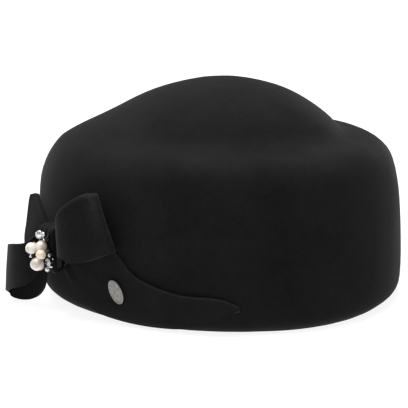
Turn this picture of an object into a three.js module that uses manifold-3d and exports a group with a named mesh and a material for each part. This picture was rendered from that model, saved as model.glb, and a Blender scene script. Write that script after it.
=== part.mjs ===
// A black wool-felt pillbox hat: one blocked crown of felt with a soft dome, and a folded felt bow on its wall,
// with a brooch of pearls and cut stones on the knot and a small plain metal plate on the long tail.
// Millimetres, Z up. The bow sits towards -X, the long tail runs along the -Y side, and the rim rests on Z = 0.
import * as THREE from "three";
import { mergeVertices } from "three/addons/utils/BufferGeometryUtils.js";
import Module from "manifold-3d";

const wasm = await Module();
wasm.setup();

// Driving sizes of the crown
const LENGTH = 205;
const WIDTH = 164;
const WALL_HEIGHT = 89;
const DOME_HEIGHT = 31.8;
const EGG = 0.127; // how much fuller the +X end of the outline is than the bow's end
const CROWN_FELT = 2.4;

// Driving sizes of the bow
const GAP = 0.3;
const BOW_FELT = 2.2;
const KNOT_TURN = 34; // degrees round from the -X end towards the -Y side
const KNOT_UP = 37.5;
const KNOT_WIDTH = 11.2;
const KNOT_HEIGHT = 25.4;
const KNOT_ROUND = 0.5; // radius of the hollow's corners
const GATHER_SLACK = 0.8;
const LOOP_LENGTH = 40;
const LOOP_WIDTH = 36;
const LOOP_STAND = 12;
const TAIL_LIFT = 6.8;

// Driving sizes of the metal and the pearls
const PEARL_RADIUS = 3.5; // the largest pearl's
const BASE_RADIUS = 5;
const BASE_THICK = 1;
const ARM_WIDTH = 1.4;
const PEG_RADIUS = 0.45;
const CUP_WALL = 0.35;
const PIN_WIDTH = 7.6;
const PIN_LENGTH = 13.6;
const PIN_THICK = 0.9;
const PIN_LEAN = 24; // degrees from upright
const PIN_TURN = 57.3;
const PIN_UP = 19.8;

// How finely the round things are cut
const CROWN_STEPS = 48;
const TAIL_ACROSS = 12;
const TAIL_ROW_STEPS = 2;
const LOOP_ACROSS = 5;
const LOOP_STEPS = 32;
const KNOT_CORNER_STEPS = 5;
const POST_SIDES = 10;
const BEAD_SIDES = 10;
const PEARL_SIDES = 16;
const STONE_SIDES = 8;
const CUP_SIDES = 12;
const PIN_STEPS = 28;

const up = new THREE.Vector3(0, 0, 1);
const radians = THREE.MathUtils.degToRad;
const mix = THREE.MathUtils.lerp;

// The outline of the crown's wall from the rim up. `up` is a share of the wall's height, `left` and `right` are
// shares of half the length, at the bow's end and at the other, and `side` is a share of half the width.
const WALL_RINGS = [
  { up: 0, left: 0.91, right: 0.926, side: 0.92 },
  { up: 0.03, left: 0.955, right: 0.965, side: 0.96 },
  { up: 0.06, left: 0.979, right: 0.985, side: 0.981 },
  { up: 0.1, left: 0.992, right: 0.995, side: 0.992 },
  { up: 0.25, left: 1, right: 1, side: 1 },
  { up: 0.45, left: 1, right: 0.99, side: 0.995 },
  { up: 0.62, left: 1, right: 0.978, side: 0.985 },
  { up: 0.75, left: 0.987, right: 0.962, side: 0.966 },
  { up: 0.85, left: 0.957, right: 0.938, side: 0.94 },
  { up: 0.91, left: 0.927, right: 0.912, side: 0.915 },
  { up: 0.955, left: 0.9, right: 0.868, side: 0.878 },
  { up: 0.985, left: 0.878, right: 0.82, side: 0.835 },
  { up: 1, left: 0.86, right: 0.74, side: 0.8 },
];

// The shelf behind the shoulder and the dome above it. `up` is a share of the dome's height.
const DOME_RINGS = [
  { up: 0.06, left: 0.83, right: 0.665, side: 0.74 },
  { up: 0.13, left: 0.79, right: 0.64, side: 0.685 },
  { up: 0.2, left: 0.75, right: 0.62, side: 0.64 },
  { up: 0.32, left: 0.67, right: 0.583, side: 0.595 },
  { up: 0.45, left: 0.582, right: 0.528, side: 0.545 },
  { up: 0.58, left: 0.508, right: 0.47, side: 0.487 },
  { up: 0.7, left: 0.431, right: 0.403, side: 0.42 },
  { up: 0.82, left: 0.335, right: 0.32, side: 0.33 },
  { up: 0.9, left: 0.243, right: 0.233, side: 0.245 },
  { up: 0.96, left: 0.155, right: 0.15, side: 0.15 },
  { up: 0.99, left: 0.07, right: 0.07, side: 0.07 },
];

// The bow's two loops, each a strip that leaves the knot, runs out as the front layer, folds and comes back
// as the back layer. `alongLow` and `alongHigh` are shares of the loop's length at the strip's two edges,
// `layer` is 1 in front and 0 behind, `outLow` and `outHigh` are shares of the stand-off beyond that layer's
// place at the knot, and `low` and `high` are shares of the loop's width from the knot's middle.
const NEAR_LOOP = [
  { alongLow: 0.012, alongHigh: 0.012, layer: 1, outLow: 0, outHigh: 0, low: -0.17, high: 0.26 },
  { alongLow: 0.155, alongHigh: 0.155, layer: 1, outLow: 0, outHigh: 0, low: -0.16, high: 0.27 },
  { alongLow: 0.22, alongHigh: 0.22, layer: 1, outLow: 0.22, outHigh: 0.25, low: 0.03, high: 0.49 },
  { alongLow: 0.31, alongHigh: 0.298, layer: 1, outLow: 0.32, outHigh: 0.34, low: -0.015, high: 0.665 },
  { alongLow: 0.445, alongHigh: 0.4, layer: 1, outLow: 0.32, outHigh: 0.29, low: -0.07, high: 0.785 },
  { alongLow: 0.615, alongHigh: 0.515, layer: 1, outLow: 0.2, outHigh: 0.14, low: -0.04, high: 0.89 },
  { alongLow: 0.79, alongHigh: 0.612, layer: 1, outLow: 0.06, outHigh: -0.07, low: 0.04, high: 0.945 },
  { alongLow: 0.93, alongHigh: 0.668, layer: 1, outLow: -0.08, outHigh: -0.2, low: 0.115, high: 0.957 },
  { alongLow: 0.982, alongHigh: 0.692, layer: 0.5, outLow: -0.12, outHigh: -0.22, low: 0.133, high: 0.945 },
  { alongLow: 0.9, alongHigh: 0.65, layer: 0, outLow: -0.16, outHigh: -0.26, low: 0.083, high: 0.89 },
  { alongLow: 0.712, alongHigh: 0.56, layer: 0, outLow: -0.16, outHigh: -0.24, low: 0, high: 0.79 },
  { alongLow: 0.507, alongHigh: 0.447, layer: 0, outLow: -0.11, outHigh: -0.16, low: -0.045, high: 0.67 },
  { alongLow: 0.31, alongHigh: 0.298, layer: 0, outLow: -0.06, outHigh: -0.06, low: -0.08, high: 0.48 },
  { alongLow: 0.16, alongHigh: 0.16, layer: 0, outLow: 0, outHigh: 0, low: -0.16, high: 0.26 },
  { alongLow: 0.012, alongHigh: 0.012, layer: 0, outLow: 0, outHigh: 0, low: -0.17, high: 0.26 },
];

const FAR_LOOP = [
  { alongLow: 0.012, alongHigh: 0.012, layer: 1, outLow: 0, outHigh: 0, low: -0.26, high: 0.26 },
  { alongLow: 0.155, alongHigh: 0.155, layer: 1, outLow: 0, outHigh: 0, low: -0.26, high: 0.26 },
  { alongLow: 0.215, alongHigh: 0.215, layer: 1, outLow: 0.31, outHigh: 0.31, low: -0.47, high: 0.15 },
  { alongLow: 0.29, alongHigh: 0.29, layer: 1, outLow: 0.66, outHigh: 0.66, low: -0.61, high: 0.04 },
  { alongLow: 0.42, alongHigh: 0.42, layer: 1, outLow: 0.9, outHigh: 0.84, low: -0.7, high: -0.015 },
  { alongLow: 0.548, alongHigh: 0.548, layer: 1, outLow: 0.98, outHigh: 0.85, low: -0.77, high: -0.06 },
  { alongLow: 0.675, alongHigh: 0.658, layer: 1, outLow: 0.97, outHigh: 0.8, low: -0.845, high: -0.118 },
  { alongLow: 0.765, alongHigh: 0.728, layer: 1, outLow: 0.9, outHigh: 0.68, low: -0.91, high: -0.155 },
  { alongLow: 0.795, alongHigh: 0.75, layer: 0.5, outLow: 0.88, outHigh: 0.64, low: -0.985, high: -0.173 },
  { alongLow: 0.76, alongHigh: 0.72, layer: 0, outLow: 0.87, outHigh: 0.62, low: -1.015, high: -0.188 },
  { alongLow: 0.653, alongHigh: 0.623, layer: 0, outLow: 0.55, outHigh: 0.42, low: -1.018, high: -0.205 },
  { alongLow: 0.478, alongHigh: 0.478, layer: 0, outLow: 0.2, outHigh: 0.19, low: -0.945, high: -0.155 },
  { alongLow: 0.303, alongHigh: 0.303, layer: 0, outLow: 0.03, outHigh: 0.03, low: -0.74, high: -0.04 },
  { alongLow: 0.16, alongHigh: 0.16, layer: 0, outLow: 0, outHigh: 0, low: -0.26, high: 0.24 },
  { alongLow: 0.012, alongHigh: 0.012, layer: 0, outLow: 0, outHigh: 0, low: -0.26, high: 0.26 },
];

// The two tails lie along the wall, each from the knot to its tip. `lowTurn` and `highTurn` are degrees from the
// knot at the two edges, `low` and `high` are shares of the wall's height, and `lowLift` and `highLift` are
// shares of the tails' greatest lift off the wall.
const LONG_TAIL = [
  { lowTurn: 0.4, highTurn: 0.4, low: 0.31, high: 0.54, lowLift: 0, highLift: 0 },
  { lowTurn: 4, highTurn: 4, low: 0.2, high: 0.54, lowLift: 0, highLift: 0 },
  { lowTurn: 9, highTurn: 9, low: 0.12, high: 0.52, lowLift: 0, highLift: 0 },
  { lowTurn: 15, highTurn: 15, low: 0.06, high: 0.49, lowLift: 0, highLift: 0 },
  { lowTurn: 22.5, highTurn: 22.5, low: 0.035, high: 0.447, lowLift: 0, highLift: 0 },
  { lowTurn: 28, highTurn: 28, low: 0.026, high: 0.337, lowLift: 0, highLift: 0 },
  { lowTurn: 34, highTurn: 34, low: 0.024, high: 0.281, lowLift: 0, highLift: 0 },
  { lowTurn: 43, highTurn: 43, low: 0.036, high: 0.238, lowLift: 0, highLift: 0 },
  { lowTurn: 47, highTurn: 47, low: 0.06, high: 0.234, lowLift: 0, highLift: 0 },
  { lowTurn: 51.5, highTurn: 51.5, low: 0.095, high: 0.233, lowLift: 0, highLift: 0 },
  { lowTurn: 55.5, highTurn: 55.5, low: 0.127, high: 0.219, lowLift: 0, highLift: 0 },
  { lowTurn: 59.5, highTurn: 59.5, low: 0.162, high: 0.18, lowLift: 0, highLift: 0 },
];

const SHORT_TAIL = [
  { lowTurn: -0.4, highTurn: -0.4, low: 0.31, high: 0.52, lowLift: 0, highLift: 0 },
  { lowTurn: -6, highTurn: -4, low: 0.3, high: 0.52, lowLift: 0.02, highLift: 0 },
  { lowTurn: -12, highTurn: -7.5, low: 0.3, high: 0.515, lowLift: 0.33, highLift: 0 },
  { lowTurn: -18, highTurn: -10, low: 0.31, high: 0.52, lowLift: 0.74, highLift: 0 },
  { lowTurn: -23, highTurn: -11.5, low: 0.335, high: 0.54, lowLift: 1, highLift: 0 },
  { lowTurn: -25.3, highTurn: -13.2, low: 0.39, high: 0.57, lowLift: 0.95, highLift: 0 },
  { lowTurn: -25.3, highTurn: -15.6, low: 0.47, high: 0.605, lowLift: 0.77, highLift: 0 },
  { lowTurn: -25.3, highTurn: -18.5, low: 0.57, high: 0.64, lowLift: 0.58, highLift: 0.03 },
  { lowTurn: -25.2, highTurn: -22, low: 0.65, high: 0.665, lowLift: 0.44, highLift: 0.05 },
];

// The cluster on the knot, in the knot's own axes: `along` the wall, `rise` up it and `out` from the back of
// the brooch's base, with the `radius` of each round piece. All are shares of the largest pearl's radius.
const PEARL_TABLE = [
  { name: "pearl_top_left", along: -1.029, rise: 0.4, out: 1.686, radius: 0.886 },
  { name: "pearl_top_right", along: 0.686, rise: 0.943, out: 1.171, radius: 0.8 },
  { name: "pearl_middle", along: 1.829, rise: 0.143, out: 2.086, radius: 0.686 },
  { name: "pearl_bottom", along: 0, rise: -1.914, out: 1.514, radius: 1 },
];
const STONE_TABLE = [
  { name: "stone_top", along: 0.257, rise: 2.629, out: 0.971, radius: 0.571 },
  { name: "stone_ring", along: 2.086, rise: -1.257, out: 0.971, radius: 0.514 },
  { name: "stone_side", along: 2.229, rise: -0.229, out: 0.829, radius: 0.229 },
  { name: "stone_low", along: 1.543, rise: -2.571, out: 0.8, radius: 0.314 },
];
const METAL_BEAD_TABLE = [
  { along: 1.314, rise: 2.943, out: 1.029, radius: 0.329 },
  { along: 1.314, rise: 2.143, out: 0.971, radius: 0.2 },
  { along: -1.6, rise: -1.029, out: 1.429, radius: 0.257 },
];

function inPearlRadii({ name, along, rise, out, radius }) {
  const [alongSize, riseSize, outSize, size] = [along, rise, out, radius].map((share) => share * PEARL_RADIUS);
  return { name, along: alongSize, rise: riseSize, out: outSize, radius: size };
}

const PEARLS = PEARL_TABLE.map(inPearlRadii);
const STONES = STONE_TABLE.map(inPearlRadii);
const METAL_BEADS = METAL_BEAD_TABLE.map(inPearlRadii);

// The crown's rings with their heights and half sizes in millimetres
function sized(rings, foot, height) {
  return rings.map((ring) => ({
    z: foot + ring.up * height,
    left: (ring.left * LENGTH) / 2,
    right: (ring.right * LENGTH) / 2,
    side: (ring.side * WIDTH) / 2,
  }));
}

const wallRings = sized(WALL_RINGS, 0, WALL_HEIGHT);
const outerRings = [...wallRings, ...sized(DOME_RINGS, WALL_HEIGHT, DOME_HEIGHT)];

function ringPoint(ring, turn) {
  const cosine = Math.cos(turn);
  const half = cosine > 0 ? ring.left : ring.right;
  const y = -ring.side * Math.sin(turn) * (1 - EGG * cosine);
  return new THREE.Vector3(-half * cosine, y, ring.z);
}

function ringAt(z) {
  const last = wallRings.length - 2;
  const index = THREE.MathUtils.clamp(wallRings.findIndex((ring) => ring.z > z) - 1, 0, last);
  const [below, above] = [wallRings[index], wallRings[index + 1]];
  const share = (z - below.z) / (above.z - below.z);
  const between = (key) => mix(below[key], above[key], share);
  return { z, left: between("left"), right: between("right"), side: between("side") };
}

// The level direction square to the wall at a turn, and the point that stands `out` from the wall there
const SMALL_TURN = 0.001;
function wallOut(ring, turn) {
  const ahead = ringPoint(ring, turn + SMALL_TURN);
  const along = ahead.sub(ringPoint(ring, turn - SMALL_TURN)).normalize();
  return along.cross(up);
}

function wallPoint(turn, z, out) {
  const ring = ringAt(z);
  return ringPoint(ring, turn).addScaledVector(wallOut(ring, turn), out);
}

// A closed body from a list of sections, each with as many points on its inner face as on its outer one
function slab(sections) {
  const across = sections[0].outer.length;
  const points = sections.flatMap(({ outer, inner }) => [...outer, ...inner]);
  const outer = (i, j) => i * 2 * across + j;
  const inner = (i, j) => outer(i, j) + across;
  const faces = [];
  const quad = (a, b, c, d) => faces.push(a, b, c, a, c, d);
  const last = sections.length - 1;
  const edge = across - 1;
  for (let i = 0; i < last; i++) {
    for (let j = 0; j < edge; j++) {
      quad(outer(i, j), outer(i + 1, j), outer(i + 1, j + 1), outer(i, j + 1));
      quad(inner(i, j), inner(i, j + 1), inner(i + 1, j + 1), inner(i + 1, j));
    }
    quad(outer(i, 0), inner(i, 0), inner(i + 1, 0), outer(i + 1, 0));
    quad(outer(i, edge), outer(i + 1, edge), inner(i + 1, edge), inner(i, edge));
  }
  for (let j = 0; j < edge; j++) {
    quad(outer(0, j), outer(0, j + 1), inner(0, j + 1), inner(0, j));
    quad(outer(last, j), inner(last, j), inner(last, j + 1), outer(last, j + 1));
  }
  return facingOut(points, faces);
}

function facingOut(points, faces) {
  let volume = 0;
  for (let i = 0; i < faces.length; i += 3) {
    const [a, b, c] = [points[faces[i]], points[faces[i + 1]], points[faces[i + 2]]];
    volume += a.dot(b.clone().cross(c));
  }
  const geometry = new THREE.BufferGeometry().setFromPoints(points);
  geometry.setIndex(volume > 0 ? faces : faces.toReversed());
  return geometry;
}

// Crown: the outer face up to the top of the dome, every second ring set in by the felt's thickness for the
// inner face, and the flat face of the rim between the two
function setIn(rings, top) {
  return rings.map((ring, index) => {
    const before = rings[Math.max(index - 1, 0)];
    const after = rings[index + 1] ?? { z: top, left: 0, right: 0, side: 0 };
    const shrink = (before.left + before.right + before.side - after.left - after.right - after.side) / 3;
    const length = Math.hypot(after.z - before.z, shrink);
    const sideways = (CROWN_FELT * (after.z - before.z)) / length;
    const downward = (CROWN_FELT * shrink) / length;
    return {
      z: index === 0 ? ring.z : ring.z - downward,
      left: ring.left - sideways,
      right: ring.right - sideways,
      side: ring.side - sideways,
    };
  });
}

function crownGeometry() {
  const top = WALL_HEIGHT + DOME_HEIGHT;
  const innerRings = setIn(outerRings, top).filter((_, index) => index % 2 === 0);
  const rings = [...innerRings.toReversed(), ...outerRings];
  const turns = Array.from({ length: CROWN_STEPS }, (_, step) => (step / CROWN_STEPS) * 2 * Math.PI);
  const points = rings.flatMap((ring) => turns.map((turn) => ringPoint(ring, turn)));
  const innerTop = points.push(new THREE.Vector3(0, 0, top - CROWN_FELT)) - 1;
  const outerTop = points.push(new THREE.Vector3(0, 0, top)) - 1;
  const faces = [];
  const at = (ring, step) => ring * CROWN_STEPS + (step % CROWN_STEPS);
  const lastRing = rings.length - 1;
  for (let step = 0; step < CROWN_STEPS; step++) {
    for (let ring = 0; ring < lastRing; ring++) {
      faces.push(at(ring, step), at(ring, step + 1), at(ring + 1, step + 1));
      faces.push(at(ring, step), at(ring + 1, step + 1), at(ring + 1, step));
    }
    faces.push(innerTop, at(0, step + 1), at(0, step));
    faces.push(outerTop, at(lastRing, step), at(lastRing, step + 1));
  }
  return facingOut(points, faces);
}

// Tails: flat felt that follows the wall
function smoothRows(rows, keys, steps) {
  const curves = keys.map((key) => {
    const points = rows.map((row, index) => new THREE.Vector3(index, row[key], 0));
    return new THREE.CatmullRomCurve3(points, false, "catmullrom", 0.4);
  });
  return Array.from({ length: steps + 1 }, (_, step) => {
    const values = curves.map((curve) => curve.getPoint(step / steps).y);
    return Object.fromEntries(keys.map((key, index) => [key, values[index]]));
  });
}

const TAIL_KEYS = ["lowTurn", "highTurn", "low", "high", "lowLift", "highLift"];
function tailGeometry(rows) {
  const steps = TAIL_ROW_STEPS * rows.length;
  const sections = smoothRows(rows, TAIL_KEYS, steps).map((row) => {
    const face = (depth) =>
      Array.from({ length: TAIL_ACROSS + 1 }, (_, step) => {
        const share = step / TAIL_ACROSS;
        const turn = radians(KNOT_TURN + mix(row.lowTurn, row.highTurn, share));
        const lift = Math.max(mix(row.lowLift, row.highLift, share), 0) * TAIL_LIFT;
        return wallPoint(turn, mix(row.low, row.high, share) * WALL_HEIGHT, GAP + lift + depth);
      });
    return { inner: face(0), outer: face(BOW_FELT) };
  });
  return slab(sections);
}

// Levels of the bow's layers, from the wall outwards: a tail, the back of the knot's wrap, the back and the
// front layer of the loops inside it, the front of the wrap, and the brooch on it
const wrapBack = GAP + BOW_FELT + GAP;
const hollowBack = wrapBack + BOW_FELT;
const backLayer = hollowBack + GAP + BOW_FELT / 2;
const frontLayer = backLayer + BOW_FELT + GATHER_SLACK;
const hollowFront = frontLayer + BOW_FELT / 2 + GAP;
const wrapFront = hollowFront + BOW_FELT;
const broochBack = wrapFront + GAP;

// Where a length along the wall from the knot's middle, at the knot's height, comes to
const knotRing = ringAt(KNOT_UP);
const ARC_STEP = radians(0.25);
function turnAlong(length) {
  let turn = radians(KNOT_TURN);
  let left = Math.abs(length);
  const step = Math.sign(length) * ARC_STEP;
  for (;;) {
    const stretch = ringPoint(knotRing, turn).distanceTo(ringPoint(knotRing, turn + step));
    if (stretch >= left) {
      return turn + (step * left) / stretch;
    }
    left -= stretch;
    turn += step;
  }
}

function loopPoint(along, out, rise) {
  const turn = turnAlong(along);
  const point = ringPoint(knotRing, turn).addScaledVector(wallOut(knotRing, turn), out);
  return point.addScaledVector(up, rise);
}

function loopGeometry(rows, way) {
  const lines = Array.from({ length: LOOP_ACROSS + 1 }, (_, step) => {
    const share = step / LOOP_ACROSS;
    const points = rows.map((row) => {
      const level = mix(backLayer, frontLayer, row.layer);
      const along = way * mix(row.alongLow, row.alongHigh, share) * LOOP_LENGTH;
      const out = level + mix(row.outLow, row.outHigh, share) * LOOP_STAND;
      return loopPoint(along, out, mix(row.low, row.high, share) * LOOP_WIDTH);
    });
    return new THREE.CatmullRomCurve3(points, false, "centripetal");
  });
  const sections = Array.from({ length: LOOP_STEPS + 1 }, (_, step) => {
    const share = step / LOOP_STEPS;
    const face = (offset) =>
      lines.map((line) => {
        const across = line.getTangent(share).setZ(0).normalize().cross(up);
        return line.getPoint(share).addScaledVector(across, offset);
      });
    return { inner: face(-BOW_FELT / 2), outer: face(BOW_FELT / 2) };
  });
  return slab(sections);
}

// Knot: a felt wrap round the gathered loops, open at its two ends, in the knot's own axes, where X runs along
// the wall, Y is up and Z points out of the wall
const alongUpOut = new THREE.Matrix4().makeBasis(
  new THREE.Vector3(0, 1, 0),
  new THREE.Vector3(0, 0, 1),
  new THREE.Vector3(1, 0, 0),
);

function roundedOutline(path, halfHeight, back, front, radius) {
  path.moveTo(-halfHeight + radius, back);
  path.lineTo(halfHeight - radius, back);
  path.absarc(halfHeight - radius, back + radius, radius, -Math.PI / 2, 0, false);
  path.absarc(halfHeight - radius, front - radius, radius, 0, Math.PI / 2, false);
  path.lineTo(-halfHeight + radius, front);
  path.absarc(-halfHeight + radius, front - radius, radius, Math.PI / 2, Math.PI, false);
  path.absarc(-halfHeight + radius, back + radius, radius, Math.PI, Math.PI * 1.5, false);
  return path;
}

function knotGeometry() {
  const halfHeight = KNOT_HEIGHT / 2;
  const shape = roundedOutline(new THREE.Shape(), halfHeight, wrapBack, wrapFront, BOW_FELT + KNOT_ROUND);
  const hollow = roundedOutline(new THREE.Path(), halfHeight - BOW_FELT, hollowBack, hollowFront, KNOT_ROUND);
  shape.holes.push(hollow);
  const geometry = new THREE.ExtrudeGeometry(shape, {
    depth: KNOT_WIDTH,
    bevelEnabled: false,
    curveSegments: KNOT_CORNER_STEPS,
  });
  geometry.translate(0, 0, -KNOT_WIDTH / 2);
  return geometry.applyMatrix4(alongUpOut);
}

// Solids that are joined or cut, and back again
function solid(geometry) {
  const bare = geometry.clone();
  bare.deleteAttribute("normal");
  bare.deleteAttribute("uv");
  const merged = mergeVertices(bare, 1e-4);
  const vertProperties = new Float32Array(merged.attributes.position.array);
  const triVerts = new Uint32Array(merged.index.array);
  return new wasm.Manifold(new wasm.Mesh({ numProp: 3, vertProperties, triVerts }));
}

function joined(geometries) {
  const mesh = geometries.map(solid).reduce((whole, piece) => whole.add(piece)).getMesh();
  const geometry = new THREE.BufferGeometry();
  geometry.setAttribute("position", new THREE.BufferAttribute(mesh.vertProperties, 3));
  geometry.setIndex(new THREE.BufferAttribute(mesh.triVerts, 1));
  return geometry;
}

// Brooch: a round base with an arm out to every seat, a peg under each pearl and the small metal beads
function post(along, rise, back, front, radius) {
  const geometry = new THREE.CylinderGeometry(radius, radius, front - back, POST_SIDES);
  geometry.rotateX(Math.PI / 2);
  return geometry.translate(along, rise, (front + back) / 2);
}

function ball(along, rise, out, radius, sides) {
  const geometry = new THREE.SphereGeometry(radius, sides, Math.ceil(sides * 0.6));
  geometry.rotateX(Math.PI / 2);
  return geometry.translate(along, rise, out);
}

function arm(along, rise) {
  const length = Math.hypot(along, rise);
  const geometry = new THREE.BoxGeometry(length, ARM_WIDTH, BASE_THICK);
  geometry.translate(length / 2, 0, broochBack + BASE_THICK / 2);
  return geometry.rotateZ(Math.atan2(rise, along));
}

function broochBase() {
  const front = broochBack + BASE_THICK;
  const pieces = [post(0, 0, broochBack, front, BASE_RADIUS)];
  for (const { along, rise, radius } of [...PEARLS, ...STONES, ...METAL_BEADS]) {
    pieces.push(arm(along, rise));
    pieces.push(post(along, rise, broochBack, front, Math.max(radius / 2, ARM_WIDTH / 2)));
  }
  for (const { along, rise, out, radius } of PEARLS) {
    pieces.push(post(along, rise, broochBack, broochBack + out - radius - GAP, PEG_RADIUS));
  }
  for (const { along, rise, out, radius } of METAL_BEADS) {
    pieces.push(post(along, rise, broochBack, broochBack + out, PEG_RADIUS / 2));
    pieces.push(ball(along, rise, broochBack + out, radius, BEAD_SIDES));
  }
  return joined(pieces);
}

// A cut stone in its metal cup: a flat table, eight crown facets and a pointed back
function turned(profile, sides) {
  const points = profile.map(([radius, height]) => new THREE.Vector2(radius, height));
  return new THREE.LatheGeometry(points, sides).rotateX(Math.PI / 2);
}

function stoneInCup({ along, rise, out, radius }) {
  const girdle = broochBack + out;
  const foot = broochBack + BASE_THICK + GAP;
  const rim = radius + CUP_WALL;
  const seat = girdle - radius * 0.5;
  const table = girdle + radius * 0.55;
  const lip = girdle + radius * 0.12;
  const facets = [[0, girdle - radius * 0.4], [radius, girdle], [radius * 0.6, table], [0, table]];
  const stone = turned(facets, STONE_SIDES);
  const side = [[radius * 0.6, foot], [radius * 0.75, seat], [rim, girdle - radius * 0.1], [rim, lip]];
  const cup = turned([[0, foot], ...side, [0, lip]], CUP_SIDES);
  return joined([stone, cup]).translate(along, rise, 0);
}

// Pin: a small plain oval plate on the long tail
function pinGeometry() {
  const outline = new THREE.Shape().absellipse(0, 0, PIN_WIDTH / 2, PIN_LENGTH / 2, 0, Math.PI * 2);
  return new THREE.ExtrudeGeometry(outline, {
    depth: PIN_THICK,
    bevelEnabled: false,
    curveSegments: PIN_STEPS,
  });
}

// Materials
const felt = new THREE.MeshStandardMaterial({ color: 0x17171a, roughness: 0.95, metalness: 0 });
const bowFelt = new THREE.MeshStandardMaterial({ color: 0x1b1b1e, roughness: 0.92, metalness: 0 });
const pearl = new THREE.MeshStandardMaterial({ color: 0xf1e9df, roughness: 0.22, metalness: 0 });
const warmPearl = new THREE.MeshStandardMaterial({ color: 0xefd9bd, roughness: 0.25, metalness: 0 });
const silver = new THREE.MeshStandardMaterial({ color: 0xc9c7c2, roughness: 0.2, metalness: 1 });
const crystal = new THREE.MeshStandardMaterial({ color: 0xe8edf0, roughness: 0.05, metalness: 0 });
const pinMetal = new THREE.MeshStandardMaterial({ color: 0x95928e, roughness: 0.4, metalness: 1 });

const hat = new THREE.Group();

function add(parent, name, geometry, material) {
  const mesh = new THREE.Mesh(geometry, material);
  mesh.name = name;
  parent.add(mesh);
}

add(hat, "crown", crownGeometry(), felt);
add(hat, "long_tail", tailGeometry(LONG_TAIL), bowFelt);
add(hat, "short_tail", tailGeometry(SHORT_TAIL), bowFelt);
add(hat, "near_loop", loopGeometry(NEAR_LOOP, 1), bowFelt);
add(hat, "far_loop", loopGeometry(FAR_LOOP, -1), bowFelt);

// The knot and all that it carries share one turned group
const knotTurn = radians(KNOT_TURN);
const knotOut = wallOut(knotRing, knotTurn);
const knotAlong = up.clone().cross(knotOut);
const knot = new THREE.Group();
knot.applyMatrix4(new THREE.Matrix4().makeBasis(knotAlong, up, knotOut));
knot.position.copy(ringPoint(knotRing, knotTurn));
hat.add(knot);
add(knot, "knot", knotGeometry(), bowFelt);
add(knot, "brooch_base", broochBase(), silver);
for (const { name, along, rise, out, radius } of PEARLS) {
  const finish = name === "pearl_middle" ? warmPearl : pearl;
  add(knot, name, ball(along, rise, broochBack + out, radius, PEARL_SIDES), finish);
}
for (const stone of STONES) {
  add(knot, stone.name, stoneInCup(stone), crystal);
}

// The pin lies on the tail's outer face, a little clear of it at its middle because the face is curved
const pinTurn = radians(PIN_TURN);
const pinBack = GAP + BOW_FELT + GAP * 1.5;
const pinMiddle = wallPoint(pinTurn, PIN_UP, pinBack);
const pinAbove = wallPoint(pinTurn, PIN_UP + PIN_LENGTH / 2, pinBack);
const pinBelow = wallPoint(pinTurn, PIN_UP - PIN_LENGTH / 2, pinBack);
const pinRise = pinAbove.clone().sub(pinBelow).normalize();
const pinAlong = pinRise.clone().cross(wallOut(ringAt(PIN_UP), pinTurn)).normalize();
const pin = new THREE.Group();
pin.applyMatrix4(new THREE.Matrix4().makeBasis(pinAlong, pinRise, pinAlong.clone().cross(pinRise)));
pin.rotateZ(radians(PIN_LEAN));
pin.position.copy(pinMiddle);
hat.add(pin);
add(pin, "pin_plate", pinGeometry(), pinMetal);

// The origin is the middle of the foot of the whole hat's box
const box = new THREE.Box3().setFromObject(hat, true);
const middle = box.getCenter(new THREE.Vector3());
hat.position.set(-middle.x, -middle.y, 0);

export default hat;
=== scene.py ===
# %% [markdown]
# # A black felt pillbox hat with a bow and a pearl brooch
# The hat is one blocked crown of wool felt. Its bow is cut from thinner felt, and carries a brooch of
# pearls and cut stones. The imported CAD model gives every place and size, and this script gives the
# looks.

# %% Load the frame
import math

import bmesh
import bpy
from mathutils import Matrix, Vector, noise


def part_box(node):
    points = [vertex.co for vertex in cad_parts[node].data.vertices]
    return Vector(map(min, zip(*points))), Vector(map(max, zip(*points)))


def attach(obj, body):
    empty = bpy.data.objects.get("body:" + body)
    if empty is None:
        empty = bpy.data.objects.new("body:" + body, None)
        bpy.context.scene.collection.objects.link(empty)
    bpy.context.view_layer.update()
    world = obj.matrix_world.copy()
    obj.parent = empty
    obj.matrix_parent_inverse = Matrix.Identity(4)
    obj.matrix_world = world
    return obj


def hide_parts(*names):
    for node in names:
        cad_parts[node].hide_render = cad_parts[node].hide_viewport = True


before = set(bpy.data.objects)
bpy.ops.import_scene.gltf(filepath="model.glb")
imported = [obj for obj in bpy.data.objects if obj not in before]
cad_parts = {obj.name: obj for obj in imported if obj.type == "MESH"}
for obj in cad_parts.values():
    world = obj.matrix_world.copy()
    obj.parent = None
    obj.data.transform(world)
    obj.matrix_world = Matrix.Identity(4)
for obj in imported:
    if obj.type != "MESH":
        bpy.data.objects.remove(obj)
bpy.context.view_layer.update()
mm = 0.001
print("nodes in the frame:", len(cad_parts))

# %% [markdown]
# The camera comes first. The photograph looks down on the hat by about 15 degrees from some 68 cm away,
# almost square to its long side. The aim is the crown's middle, and the shift puts that point where the
# photograph has it.

# %% Camera
PHOTO_SIDE = 408
LOOKS_DOWN = math.radians(14.58)
TURNED = math.radians(2.02)
DISTANCE = 679 * mm
AIM_HEIGHT = 58.2 * mm
FOCAL_PIXELS = 1201.6
AIM_PIXEL = (221.37, 186.49)
SENSOR = 36

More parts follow.
